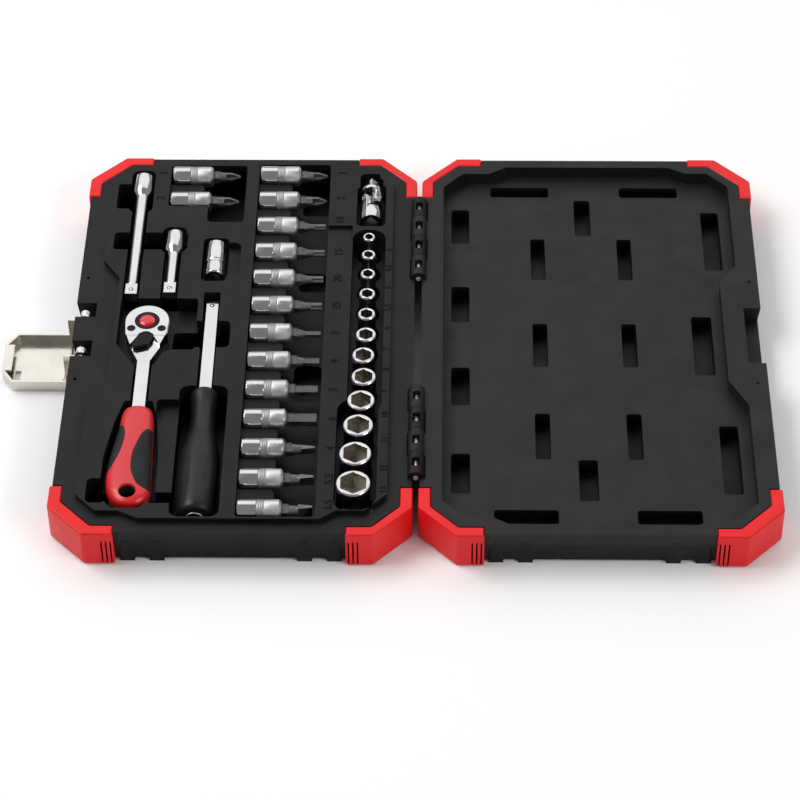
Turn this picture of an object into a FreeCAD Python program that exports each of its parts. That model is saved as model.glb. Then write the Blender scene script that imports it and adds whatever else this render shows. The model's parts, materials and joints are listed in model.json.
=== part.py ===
import FreeCAD, Part
import math
import os
import re
import Sketcher

# Socket wrench set in a blow-moulded case, lying open and flat. Millimetres, +Z up.
# The hinge runs along Y at x = hinge_x, at the height of the rims. The base half lies at -X of it,
# the lid half at +X. "Out" is a distance from the hinge line, the same way for both halves.

doc = FreeCAD.newDocument("socket_wrench_set")
sizes = doc.addObject("Spreadsheet::Sheet", "Sizes")
aliases = []


def define(**cells):
    """Adds named sizes to the sheet: the alias in column A, the number in column B."""
    for alias, number in cells.items():
        aliases.append(alias)
        row = len(aliases)
        sizes.set(f"A{row}", alias)
        sizes.set(f"B{row}", f"{number:.6g}")
        sizes.setAlias(f"B{row}", alias)


def define_rooms(**rooms):
    """A room is cut down into the tray: out from, out to, y from, y to, floor above the rim, corner."""
    for name, numbers in rooms.items():
        ends = ("inner", "outer", "front", "back", "floor", "corner")
        define(**{f"{name}_{end}": number for end, number in zip(ends, numbers)})


# ---- driving sizes -------------------------------------------------------------------------------
define(rim_height=23, foot_height=1.5, draft_angle=6.5, half_gap=2, shell_out=185.3, shell_deep=144.2)
define(tray_rise=3, lid_depth=7.5, lip_gap=1, rim_play=0.1, gap=0.3)
define(guard_proud=1.6, guard_low=0.8, guard_outer_wall=180, guard_inner_wall=8, guard_back_wall=139.3)
define(guard_end=112, guard_run=152, guard_run_inner=35, guard_cut_outer=16, guard_cut_inner=14)
define(foot_half_width=3.7, foot_deep=142.8, foot_a=41, foot_b=56, foot_c=131, foot_d=146)
define(knuckle_radius=4.3, knuckle_pitch=16, knuckle_swing=4.8, knuckle_window=2, window_half=3, pin_radius=1.25)
define(pin_play=0.05, rear_hinge_start=44, front_hinge_start=-106)
define(latch_pin_out=180.5, latch_pin_drop=5, latch_pin_radius=1.5, latch_pin_front=-16.8,
       latch_pin_back=22.8, sheet=1.4, latch_clip_long=6, latch_clip_wide=8.5)
define(latch_front=-21.2, latch_back=16.5, latch_tip=224, latch_heel=188.5, latch_flange=6.6, latch_lift=0.3, latch_lip=5)
define(ear_half=2.4)
define(latch_ear=3.4, notch_depth=11, boss_front=-5.5, boss_back=13, notch_front=-17.5, notch_back=24)
define(square_drive=6.35, square_play=0.2, drive_depth=8.5, bit_hex=6.35)
define(holder_radius=5.9, holder_long=22.5, holder_waist=5.45, bit_reach=38)
define(bit_pitch=21.55, bit_shank=3.4, bit_seat=8)
define(socket_tall=25, socket_top=6.5, hex_depth=11)
define(ball_radius=1.3, ball_proud=0.55)

define_rooms(
    long_bar=(151.8, 160.8, 24, 112, -4.3, 1), long_head=(149.7, 162.9, 95, 130.5, -6.5, 4),
    long_end=(151.8, 160.8, 24, 33, -12, 1), short_bar=(130.8, 140.2, 24, 70, -4.3, 1),
    short_head=(128.9, 142.1, 61, 82.5, -6.5, 4), short_end=(130.8, 140.2, 24, 33, -12, 1),
    head_well=(150.4, 170, 98, 119, -16, 2), middle_well=(128, 169, 64, 78, -16, 2),
    left_bits=(98, 141, 100.5, 135.2, -6.2, 2), left_tips=(98, 118.5, 87, 134.6, -17, 3),
    coupler=(105, 119, 38.5, 73.5, -6, 3), coupler_relief=(98, 107, 43, 70, -1, 4),
    right_bits=(50.5, 91, -136.2, 136.2, -6.2, 2),
    bit_channel=(50.5, 72.5, -136.2, 136.2, -9.5, 2),
    label_strip=(36.7, 50.5, -131, 84.5, 1, 1), far_tips=(50.5, 66, 106, 134.6, -17, 3),
    upper_tips=(50.5, 66, 43, 58, -17, 4), lower_tips=(50.5, 66, -42, -15, -17, 4),
    joint_room=(18.8, 35, 84, 119, -7.7, 3), joint_neck=(20.5, 33.5, 115, 128.5, -6.5, 3),
    small_sockets=(18.3, 36.7, -62, 81, -9, 8), large_sockets=(19.8, 41.6, -131, -50, -9, 9),
    ratchet_square=(140, 151, -1.2, 12, -16.5, 2), ratchet_bar=(140.6, 150, -66, -24, -5, 1),
    grip_side=(123.5, 136, -127, -53, -2, 2),
    spinner_shaft=(107.3, 116.3, -46, 29.5, -8.3, 1), spinner_handle=(99, 124.5, -136.2, -42.5, -16.2, 5),
    shaft_well=(100.5, 132, -13.5, 7, -16, 3), grip_well=(157, 167.5, -127, -110, -16, 3),
    side_well=(122, 137, -125, -115, -16, 2),
)

# Lid slots: middle out, middle y, half width out, half width y
LID_SLOTS = []
for slot_y, slot_tall in ((125, 4.2), (-125.7, 4.8)):
    LID_SLOTS += [(56.5, slot_y, 16.5, slot_tall), (129.5, slot_y, 16.5, slot_tall)]
LID_SLOTS += [(23, y, 5, 14.2) for y in (-95.5, -31.7, 31.7, 95.5)]
LID_SLOTS += [(out, y, 4, 16.7) for out in (66, 114) for y in (-68.5, 0, 68.5)]
LID_SLOTS += [(91.5, 103, 4.5, 15), (89, -100, 5, 14.5)]
LID_SLOTS += [(163, 84, 5, 24), (163, -85, 5, 24.5), (153.5, 0, 5.5, 22.5)]
for number, (out, along, half_out, half_along) in enumerate(LID_SLOTS):
    define_rooms(**{f"slot_{chr(97 + number)}": (out - half_out, out + half_out, along - half_along,
                                                 along + half_along, -16.5, 1.5)})

# Sockets, hex end up: hex across flats, outer width of the hex end, distance out, y of the axis
SOCKETS = [
    (4, 6.9, 27.5, 71.5), (4.5, 7.8, 27.5, 57), (5, 8.2, 27.5, 41.5), (5.5, 9, 27.5, 25.5),
    (6, 9.6, 27.5, 9.5), (7, 11, 27.5, -6.5), (8, 12, 28.5, -22.3), (9, 13.1, 28, -38.5),
    (10, 14.6, 29, -56), (11, 15.8, 30, -74.3), (12, 16.8, 31, -94.6), (13, 17.8, 31.5, -115.6),
]
# Bits: kind, size. Cross and slotted sizes are tip widths, star sizes are tip diameters.
RIGHT_BITS = [
    ("cross", 5.5), ("cross", 6.1), ("star", 3.4), ("star", 3.7), ("star", 4), ("star", 4.4),
    ("hex", 3), ("hex", 4), ("hex", 5), ("hex", 6), ("slot", 4), ("slot", 5.5), ("slot", 6.6),
]
LEFT_BITS = [("cross", 5.5), ("cross", 6.1)]
doc.recompute()


# ---- helpers -------------------------------------------------------------------------------------
def link(expression):
    """Points every size named in an expression at its cell in the sheet."""
    return re.sub(r"[a-z_]+", lambda word: "Sizes." + word[0] if word[0] in aliases else word[0], expression)


def value(expression):
    return float(probe.evalExpression(link(expression)))


def bind(thing, **expressions):
    for name, expression in expressions.items():
        thing.setExpression(name.replace("__", "."), link(str(expression)))


def place(thing, x="0", y="0", z="0"):
    bind(thing, Placement__Base__x=x, Placement__Base__y=y, Placement__Base__z=z)


probe = doc.addObject("App::FeaturePython", "Probe")


def upright(shape):
    """Numbers of the edges that run straight up."""
    found = []
    for number, edge in enumerate(shape.Edges, 1):
        ends = [v.Point for v in edge.Vertexes]
        if len(ends) == 2 and math.hypot(ends[0].x - ends[1].x, ends[0].y - ends[1].y) < 1e-6:
            found.append(number)
    return found


def rounded(thing, radius, edges=None):
    """Rounds a solid's upright edges, or the ones given."""
    doc.recompute()
    size = value(radius)
    fillet = doc.addObject("Part::Fillet", thing.Name + "_rounded")
    fillet.Base = thing
    fillet.Edges = [(number, size, size) for number in (edges or upright(thing.Shape))]
    return fillet


def block(name, x, y, z, corner=None):
    """A box between pairs of expressions along x, y and z."""
    box = doc.addObject("Part::Box", name)
    bind(box, Length=f"({x[1]}) - ({x[0]})", Width=f"({y[1]}) - ({y[0]})", Height=f"({z[1]}) - ({z[0]})")
    place(box, x[0], y[0], z[0])
    return rounded(box, corner) if corner else box


def rod(name, radius, long, x="0", y="0", z="0", along="z"):
    """A round bar that starts at a place and runs along z, y or x."""
    bar = doc.addObject("Part::Cylinder", name)
    bind(bar, Radius=radius, Height=long)
    turn = {"z": ((0, 0, 1), 0), "y": ((1, 0, 0), -90), "x": ((0, 1, 0), 90)}[along]
    bar.Placement = FreeCAD.Placement(FreeCAD.Vector(), FreeCAD.Rotation(FreeCAD.Vector(*turn[0]), turn[1]))
    place(bar, x, y, z)
    return bar


def join(name, parts):
    if len(parts) == 1:
        return parts[0]
    fuse = doc.addObject("Part::MultiFuse", name)
    fuse.Shapes = parts
    return fuse


def cut(name, base, tool):
    result = doc.addObject("Part::Cut", name)
    result.Base = base
    result.Tool = tool
    return result


def common(name, base, tool):
    result = doc.addObject("Part::Common", name)
    result.Base = base
    result.Tool = tool
    return result


def group(name, parts):
    result = doc.addObject("Part::Compound", name)
    result.Links = parts
    return result


def new_body(name):
    return doc.addObject("PartDesign::Body", name)


def outline(body, name, points, plane="XY_Plane", offset="0"):
    """A closed sketch with straight sides; every corner is held by two expressions."""
    sketch = body.newObject("Sketcher::SketchObject", name)
    origin_plane = next(f for f in body.Origin.OriginFeatures if f.Role == plane)
    sketch.AttachmentSupport = [(origin_plane, "")]
    sketch.MapMode = "FlatFace"
    bind(sketch, AttachmentOffset__Base__z=offset)
    spots = [FreeCAD.Vector(value(x), value(y), 0) for x, y in points]
    count = len(spots)
    for i in range(count):
        sketch.addGeometry(Part.LineSegment(spots[i], spots[(i + 1) % count]), False)
    for i in range(count):
        sketch.addConstraint(Sketcher.Constraint("Coincident", i, 2, (i + 1) % count, 1))
    for i, (x, y) in enumerate(points):
        for kind, expression, number in (("DistanceX", x, spots[i].x), ("DistanceY", y, spots[i].y)):
            index = sketch.addConstraint(Sketcher.Constraint(kind, -1, 1, i, 1, number))
            sketch.setExpression(f"Constraints[{index}]", link(expression))
    return sketch


def ring_points(count, radius, turn=0.0):
    """Corners of a regular polygon as expressions of its corner radius."""
    corners = []
    for i in range(count):
        angle = math.radians(turn) + 2 * math.pi * i / count
        corners.append((f"({radius}) * {math.cos(angle):.6f}", f"({radius}) * {math.sin(angle):.6f}"))
    return corners


def hexagon(across):
    return ring_points(6, f"({across}) * {1 / math.sqrt(3):.6f}", 30)


def square(across):
    return ring_points(4, f"({across}) * {math.sqrt(0.5):.6f}", 45)


def pad(body, sketch, long, reverse=False, taper=None):
    feature = body.newObject("PartDesign::Pad", sketch.Name + "_pad")
    feature.Profile = sketch
    bind(feature, Length=long)
    if taper:
        bind(feature, TaperAngle=taper)
    feature.Reversed = reverse
    body.Tip = feature
    return feature


def pocket(body, sketch, deep, reverse=False):
    feature = body.newObject("PartDesign::Pocket", sketch.Name + "_pocket")
    feature.Profile = sketch
    bind(feature, Length=deep)
    feature.Reversed = reverse
    body.Tip = feature
    return feature


def turned(body, name, profile, plane, axis):
    """A turned solid: a profile of (along, radius) or (radius, along) corners about a sketch axis."""
    sketch = outline(body, name, profile, plane)
    feature = body.newObject("PartDesign::Revolution", name + "_turned")
    feature.Profile = sketch
    feature.ReferenceAxis = (sketch, [axis])
    feature.Angle = 360
    body.Tip = feature
    return feature


def prism(name, points, low, high, taper=None, corner=None):
    """A straight or drafted block over an outline."""
    body = new_body(name)
    sketch = outline(body, name + "_outline", points, offset=low)
    feature = pad(body, sketch, f"({high}) - ({low})", taper=taper)
    if corner:
        doc.recompute()
        fillet = body.newObject("PartDesign::Fillet", name + "_corners")
        fillet.Base = (feature, [f"Edge{n}" for n in upright(feature.Shape)])
        bind(fillet, Radius=corner)
        body.Tip = fillet
    return body


# ---- the two halves of the case ------------------------------------------------------------------
define(hinge_x=(value("latch_tip") - value("shell_out + guard_proud")) / 2)
doc.recompute()
RIM = "rim_height - rim_play"


def at(side, out):
    """x of a place that is some way out from the hinge line, on the base or on the lid."""
    return f"hinge_x {'-' if side == 'base' else '+'} ({out})"


def span(side, low, high):
    return (at(side, high), at(side, low)) if side == "base" else (at(side, low), at(side, high))


def tray_outline(side, grow="0"):
    """The raised tray's edge, stepped in at the corners and beside the latch; grow is the lid's play."""
    back = [(14.5, 120), (25.5, 131.5), (40, 131.5), (48, 137.3), (140, 137.3), (150, 132.3),
            (162, 132.3), (173, 121), (173, 55), (163.5, 41)]
    front = [(163.5, -33), (173, -51)] + [(out, -y) for out, y in back[:8]][::-1]
    points = []
    for out, y in back + front:
        away = "-" if out <= 40 else "+"
        points.append((at(side, f"{out} {away} {grow}"), f"{y} {'+' if y > 0 else '-'} {grow}"))
    return points


def guard_outline(side, end, inner):
    """The corner region that a guard fills, seen from above. end is +1 at the back, -1 at the front."""
    wall = "guard_inner_wall" if inner else "guard_outer_wall"
    run = "guard_run_inner" if inner else "guard_run"
    cut_in = "guard_cut_inner" if inner else "guard_cut_outer"
    sign = "+" if inner else "-"
    beyond = "-6" if inner else "shell_out + 6"
    far = "shell_deep + 6"
    corners = [(run, far), (beyond, far), (beyond, "guard_end"), (wall, "guard_end"),
               (wall, f"guard_back_wall - {cut_in}"), (f"{wall} {sign} {cut_in}", "guard_back_wall"),
               (run, "guard_back_wall")]
    return [(at(side, out), f"{end} * ({y})") for out, y in corners]


def rectangle(side, low, high, deep):
    return [(at(side, low), f"-({deep})"), (at(side, high), f"-({deep})"), (at(side, high), deep),
            (at(side, low), deep)]


def envelope_outline(side):
    """The guards' outer faces: the half's outline with its four corners cut off."""
    low, high, deep = "half_gap - 0.6", "shell_out + guard_proud", "shell_deep + guard_proud"
    corners = [(low, "126"), ("21", deep), ("168", deep), (high, "127")]
    corners += [(out, f"-({y})") for out, y in corners[::-1]]
    return [(at(side, out), y) for out, y in corners]


KNUCKLES = [("base", "rear_hinge_start", 3), ("lid", "rear_hinge_start", 2), ("base", "rear_hinge_start", 1),
            ("lid", "rear_hinge_start", 0), ("base", "front_hinge_start", 0), ("lid", "front_hinge_start", 1),
            ("base", "front_hinge_start", 2), ("lid", "front_hinge_start", 3)]


def knuckle_parts(side, own):
    """Cylinders on the hinge line: a half's own knuckles, or the room that the other half's need."""
    parts = []
    for number, (owner, start, step) in enumerate(KNUCKLES):
        if (owner == side) == own:
            play = "0.15" if own else "-0.15"
            radius = "knuckle_radius" if own else "knuckle_swing"
            parts.append(rod(f"{side}_{'knuckle' if own else 'swing'}_{number}", radius,
                             f"knuckle_pitch - 2 * ({play})", "hinge_x",
                             f"{start} + {step} * knuckle_pitch + {play}", "rim_height", "y"))
    return parts


def half_shell(side, extra_solids, extra_cuts, late_solids):
    """One half of the case without its guards."""
    low_inset = "2.4"
    foot_bottoms = []
    for number, foot in enumerate(("foot_a", "foot_b", "foot_c", "foot_d")):
        foot_bottoms.append(block(f"{side}_foot_{number}",
                                  span(side, f"{foot} - foot_half_width", f"{foot} + foot_half_width"),
                                  ("-foot_deep", "foot_deep"), ("0", "foot_height + 1")))
    walls = prism(f"{side}_walls", rectangle(side, f"half_gap + {low_inset}", f"shell_out - {low_inset}",
                                             f"shell_deep - {low_inset}"),
                  "foot_height", RIM, taper="draft_angle")
    solid = join(f"{side}_solid", [walls] + foot_bottoms + extra_solids + knuckle_parts(side, True))
    corners = [prism(f"{side}_corner_{i}", guard_outline(side, end, inner), "-1", "rim_height + 5")
               for i, (end, inner) in enumerate(((1, False), (1, True), (-1, False), (-1, True)))]
    windows = []
    for number, (owner, start, step) in enumerate(KNUCKLES):
        if owner == side:
            windows.append(block(f"{side}_window_{number}",
                                 ("hinge_x - knuckle_window", "hinge_x + knuckle_window"),
                                 (f"{start} + ({step} + 0.5) * knuckle_pitch - window_half",
                                  f"{start} + ({step} + 0.5) * knuckle_pitch + window_half"),
                                 ("rim_height + 0.6", "rim_height + knuckle_radius + 1")))
    bores = [rod(f"{side}_bore_{start}", "pin_radius + pin_play", "4 * knuckle_pitch + 4", "hinge_x",
                 f"{start}_hinge_start - 2", "rim_height", "y") for start in ("rear", "front")]
    tools = join(f"{side}_cuts", corners + windows + bores + knuckle_parts(side, False) + extra_cuts)
    shell = cut(f"{side}_cut_shell", solid, tools)
    if late_solids:
        shell = join(f"{side}_shell_whole", [shell] + late_solids)
    shell.Label = f"{side}_shell"
    envelope = prism(f"{side}_envelope", envelope_outline(side), "guard_low", RIM)
    guards = []
    for i, corner_prism in enumerate(corners):
        guard = common(f"{side}_guard_{i}", envelope, corner_prism)
        guard.Label = f"{side}_guard_" + ("outer_rear", "inner_rear", "outer_front", "inner_front")[i]
        guards.append(guard)
    return [shell] + guards


def room(side, name, top="tray_rise + 1"):
    """A rounded rectangular pocket whose edges are in the sheet."""
    return block(f"room_{name}", span(side, f"{name}_inner", f"{name}_outer"), (f"{name}_front", f"{name}_back"),
                 (f"rim_height + {name}_floor", f"rim_height + {top}"), f"{name}_corner")


def base_half():
    tray = prism("tray", tray_outline("base"), "rim_height - 2", "rim_height + tray_rise", corner="2")
    rooms = ["long_bar", "long_head", "long_end", "short_bar", "short_head", "short_end", "head_well",
             "middle_well", "left_bits", "left_tips", "coupler", "coupler_relief", "right_bits", "bit_channel", "label_strip", "far_tips",
             "upper_tips", "lower_tips", "joint_room", "joint_neck", "small_sockets", "large_sockets",
             "ratchet_square", "ratchet_bar", "grip_side", "spinner_shaft", "spinner_handle",
             "shaft_well", "grip_well", "side_well"]
    cuts = [room("base", name) for name in rooms]
    grip_room = [(153, -54), (157, -70), (160.5, -94), (161, -122), (154, -130.5), (140, -130.5),
                 (132.8, -122), (133, -90), (135.2, -66), (138, -54)]
    head_room = [(161, 24.5), (161, -11), (151, -27), (139.6, -27), (135.5, -17), (131, -15.5), (119, -15.5),
                 (119, 24.5)]
    for name, points, floor in (("grip_room", grip_room, "-8.5"), ("head_room", head_room, "-6.3")):
        cuts.append(prism(name, [(at("base", str(out)), str(y)) for out, y in points],
                          f"rim_height + {floor}", "rim_height + tray_rise + 1", corner="2"))
    for number, (flats, wide, out, y) in enumerate(SOCKETS):
        cuts.append(rod(f"socket_seat_{number}", f"{max(wide, 12) / 2} + 0.4", "20", at("base", str(out)),
                        str(y), "rim_height + socket_top - socket_tall", "z"))
    for number, (front, back) in enumerate((("notch_front", "boss_front"), ("boss_back", "notch_back"))):
        cuts.append(block(f"latch_notch_{number}", (at("base", "shell_out + 5"), at("base", "shell_out - notch_depth")),
                          (front, back), ("-1", "rim_height + 1")))
    cuts.append(rod("latch_bore", "latch_pin_radius + 0.02", "40", at("base", "latch_pin_out"), "latch_pin_front",
                    "rim_height - latch_pin_drop", "y"))
    cuts += [rod(f"peg_hole_{number}", "1", "6", at("base", "181"), str(y), "rim_height - 5", "z")
             for number, y in enumerate((44, -35))]
    ribs = []
    for number in range(12):
        middle = f"6 * bit_pitch - {number + 0.5} * bit_pitch"
        ribs.append(block(f"saddle_{number}", span("base", "72", "94.5"),
                          (f"{middle} - bit_pitch / 2 + holder_radius + gap",
                           f"{middle} + bit_pitch / 2 - holder_radius - gap"),
                          ("rim_height - 10", "rim_height - 0.4"), "3"))
    ribs.append(block("saddle_left", span("base", "122", "144.5"), ("113.9", "122.4"),
                      ("rim_height - 7", "rim_height - 0.4"), "3"))
    return half_shell("base", [tray], cuts, ribs)


def lid_half():
    cavity = prism("cavity", tray_outline("lid", "lip_gap"), "rim_height - lid_depth", "rim_height + 1",
                   corner="2")
    slots = [room("lid", f"slot_{chr(97 + number)}", "-7") for number in range(len(LID_SLOTS))]
    catch = block("catch_recess", span("lid", "176", "shell_out + 3"), ("-20.5", "22"),
                  ("rim_height - 9", "rim_height + 1"))
    return half_shell("lid", [], [cavity, catch] + slots, [])


base_nodes = base_half()
lid_nodes = lid_half()


def hinge_pins():
    pins = []
    for name in ("rear", "front"):
        pin = rod(f"hinge_pin_{name}", "pin_radius", "4 * knuckle_pitch + 0.8", "hinge_x",
                  f"{name}_hinge_start - 0.4", "rim_height", "y")
        pins.append(pin)
    return pins


# ---- latch ---------------------------------------------------------------------------------------
def latch():
    """A bent sheet channel with clipped corners, folded down beside the base; two arms hang it on its pin."""
    low, top = "latch_lift", "latch_lift + latch_flange"
    outside = [("latch_heel", "latch_front"), ("latch_tip - latch_clip_long", "latch_front"),
               ("latch_tip", "latch_front + latch_clip_wide"), ("latch_tip", "latch_back - latch_clip_wide"),
               ("latch_tip - latch_clip_long", "latch_back"), ("latch_heel", "latch_back")]
    bend = "latch_tip - latch_clip_long - sheet / 2"
    inside = [("latch_heel - 3", "latch_front + sheet"), (bend, "latch_front + sheet"),
              ("latch_tip - sheet", "latch_front + latch_clip_wide + sheet / 3"),
              ("latch_tip - sheet", "latch_back - latch_clip_wide - sheet / 3"),
              (bend, "latch_back - sheet"), ("latch_heel - 3", "latch_back - sheet")]
    stock, hollow = (prism(name, [(at("base", out), y) for out, y in points], bottom, roof)
                     for name, points, bottom, roof in (("latch_stock", outside, low, top),
                                                        ("latch_hollow", inside, f"{low} + sheet", f"{top} + 1")))
    parts = [cut("latch_channel", stock, hollow),
             block("latch_hook", span("base", "latch_tip - latch_lip", "latch_tip"),
                   ("latch_front + latch_clip_wide + 0.5", "latch_back - latch_clip_wide - 0.5"),
                   (f"{top} - sheet", top)),
             block("latch_tab", span("base", "190.5", "197.6"), ("-16", "5"), (low, f"{low} + sheet + 0.9"), "2.5")]
    for number, front in enumerate(("latch_back - sheet", "-13")):
        parts.append(block(f"latch_arm_{number}", span("base", "latch_pin_out - latch_ear", "latch_heel + 1.5"),
                           (front, f"{front} + sheet"), (low, "rim_height - latch_pin_drop")))
        parts.append(rod(f"latch_ear_{number}", "latch_ear", "sheet", at("base", "latch_pin_out"), front,
                         "rim_height - latch_pin_drop", "y"))
    cuts = [rod("latch_eye", "latch_pin_radius + pin_play", "50", at("base", "latch_pin_out"), "-25",
                "rim_height - latch_pin_drop", "y"),
            block("latch_slot", span("base", "214.3", "217.6"), ("-18.6", "-7.5"), ("-1", "5"))]
    plate = cut("latch_cut", join("latch_solid", parts), join("latch_cuts", cuts))
    plate.Label = "latch_plate"
    pin = rod("latch_pin", "latch_pin_radius", "latch_pin_back - latch_pin_front", at("base", "latch_pin_out"),
              "latch_pin_front", "rim_height - latch_pin_drop", "y")
    return [plate, pin]


# ---- sockets -------------------------------------------------------------------------------------
def socket(flats, wide, out, y):
    """A socket that stands on its square drive end with the hexagon up."""
    name = f"socket_{str(flats).replace('.', '_')}mm"
    alias = f"hexsocket_{''.join(chr(97 + int(d)) for d in str(flats) if d != '.')}"
    drive = 12 if wide < 13.5 else wide * 0.86
    define(**{f"{alias}_flats": flats, f"{alias}_radius": wide / 2, f"{alias}_drive": drive / 2})
    doc.recompute()
    top, low = f"{alias}_radius", f"{alias}_drive"
    body = new_body(name)
    profile = [("0", "0"), (f"{low} - 0.6", "0"), (low, "0.6"), (low, "4"), (f"{low} - 0.4", "4.4"),
               (f"{low} - 0.4", "6.2"), (low, "6.6"), (low, "11"), (top, "14.5"),
               (top, "socket_tall - 0.6"), (f"{top} - 0.5", "socket_tall"), ("0", "socket_tall")]
    turned(body, name + "_profile", profile, "XZ_Plane", "V_Axis")
    pocket(body, outline(body, name + "_hex", hexagon(f"{alias}_flats + 0.1"), offset="socket_tall"),
           "hex_depth")
    pocket(body, outline(body, name + "_square", square("square_drive + square_play")), "drive_depth", True)
    place(body, at("base", str(out)), str(y), "rim_height + socket_top - socket_tall")
    return body


# ---- bit sockets ---------------------------------------------------------------------------------
def holder(name):
    """The turned holder, lying along x: square hole at the tail, hexagonal seat at the nose."""
    body = new_body(name + "_holder")
    rim, waist, long = "holder_radius", "holder_waist", "holder_long"
    profile = [("0", "0"), ("0", f"{rim} - 0.5"), ("0.5", rim), ("9.6", rim), ("10", waist),
               ("13.6", waist), ("14", f"{rim} - 0.1"), (f"{long} - 1.2", f"{rim} - 0.1"),
               (long, f"{rim} - 1.2"), (long, "0")]
    turned(body, name + "_profile", profile, "XY_Plane", "H_Axis")
    pocket(body, outline(body, name + "_square", square("square_drive + square_play"), "YZ_Plane"),
           "drive_depth", True)
    pocket(body, outline(body, name + "_seat", hexagon("bit_hex"), "YZ_Plane", long), "bit_seat")
    return body


def star_points(wide):
    """Six rounded lobes of a star tip, as twelve corners."""
    points = []
    for i in range(12):
        radius = wide / 2 if i % 2 == 0 else wide / 2 * 0.74
        angle = math.pi * i / 6
        points.append((f"{radius * math.cos(angle):.5f}", f"{radius * math.sin(angle):.5f}"))
    return points


def bit(name, kind, wide):
    """A hexagonal shank with one of four tips; it starts inside the holder's seat."""
    start, neck = "holder_long - bit_seat", "holder_long + bit_shank"
    body = new_body(name + "_bit")
    pad(body, outline(body, name + "_shank", hexagon("bit_hex"), "YZ_Plane", start),
        f"{neck} - ({start})")
    tip = f"bit_reach - ({neck})"
    half = str(wide / 2)
    if kind == "hex" and wide >= 5:
        pad(body, outline(body, name + "_tip", hexagon(str(wide)), "YZ_Plane", neck), tip)
        return body
    if kind in ("hex", "star", "slot"):
        slim = {"hex": wide * 0.56, "star": wide / 2 + 0.12, "slot": 2.7}[kind]
        end = {"hex": 4, "star": 6, "slot": 5}[kind]
        cone = [(neck, "0"), (neck, "3.05"), (f"{neck} + 3.6", str(slim)), (f"{neck} + {end}", str(slim)),
                (f"{neck} + {end}", "0")]
        turned(body, name + "_cone", cone, "XY_Plane", "H_Axis")
        blade = [("-1.5", f"-{half}"), ("1.5", f"-{half}"), ("1.5", half), ("-1.5", half)]
        points = {"hex": hexagon(str(wide)), "star": star_points(wide), "slot": blade}[kind]
        pad(body, outline(body, name + "_tip", points, "YZ_Plane", f"{neck} + {end}"), f"{tip} - {end}")
        if kind == "slot":
            for side, sign in (("right", ""), ("left", "-")):
                wedge = [(f"{neck} + {end}", f"{sign}1.55"), ("bit_reach + 1", f"{sign}0.45"),
                         ("bit_reach + 1", f"{sign}4"), (f"{neck} + {end}", f"{sign}4")]
                feature = pocket(body, outline(body, f"{name}_{side}", wedge, "XY_Plane"), "10")
                feature.Midplane = True
        return body
    cone = [(neck, "0"), (neck, "3.05"), (f"{neck} + 2", half), ("bit_reach - 5", half),
            ("bit_reach", "0.7"), ("bit_reach", "0")]
    turned(body, name + "_cone", cone, "XY_Plane", "H_Axis")
    reach = "5"
    for number, (up, across) in enumerate(((1, 1), (1, -1), (-1, -1), (-1, 1))):
        near, side = f"{up} * 0.7", f"{across} * 0.7"
        flute = [(near, side), (f"{up} * {reach}", side), (f"{up} * {reach}", f"{across} * {reach}"),
                 (near, f"{across} * {reach}")]
        pocket(body, outline(body, f"{name}_flute_{number}", flute, "YZ_Plane", "bit_reach"),
               f"{tip} - 4")
    return body


def bit_socket(name, kind, wide, out, y):
    pair = group(name, [holder(name), bit(name, kind, wide)])
    pair.Label = name
    place(pair, at("base", str(out)), y, "rim_height")
    return pair


def bit_sockets():
    nodes = []
    for column, bits, out, first in (("right", RIGHT_BITS, "90", "6 * bit_pitch"),
                                     ("left", LEFT_BITS, "139.7", "128.8")):
        for number, (kind, wide) in enumerate(bits):
            name = f"bit_socket_{column}_{number + 1}_{kind}"
            nodes.append(bit_socket(name, kind, wide, out, f"{first} - {number} * bit_pitch"))
    return nodes


# ---- extension bars, coupler and universal joint ---------------------------------------------------
def ball_at(name, x, y, z):
    ball = doc.addObject("Part::Sphere", name)
    bind(ball, Radius="ball_radius")
    place(ball, x, y, z)
    return ball


def extension(name, long, neck, head):
    """A bar along y with a square end at the front and a square hole in its head."""
    body = new_body(name + "_bar")
    define(**{f"{name}_length": long})
    doc.recompute()
    whole = f"{name}_length"
    profile = [("0", "7.5"), ("2.9", "7.5"), ("3.2", "8.1"), (neck, f"{whole} - 16.6"),
               (head, f"{whole} - 13.4"), (head, f"{whole} - 0.8"), (f"{head} - 0.8", whole), ("0", whole)]
    turned(body, name + "_profile", profile, "XY_Plane", "V_Axis")
    pad(body, outline(body, name + "_end", square("square_drive"), "XZ_Plane"), "8", True)
    pocket(body, outline(body, name + "_hole", square("square_drive + square_play"), "XZ_Plane",
                         f"-({whole})"), "drive_depth", True)
    seat = rod(name + "_seat", "ball_radius + 0.05", "3", "0", "3.5", "square_drive / 2 - 2.2")
    bar = cut(name + "_cut", body, seat)
    ball = ball_at(name + "_ball", "0", "3.5", "square_drive / 2 + ball_proud - ball_radius")
    return group(name, [bar, ball])


def extensions():
    long_bar = extension("extension_long", 98.5, "3.8", "5.7")
    short_bar = extension("extension_short", 49.8, "3.35", "5.2")
    place(long_bar, at("base", "156.3"), "28", "rim_height")
    place(short_bar, at("base", "135.4"), "29.2", "rim_height")
    return [long_bar, short_bar]


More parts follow.
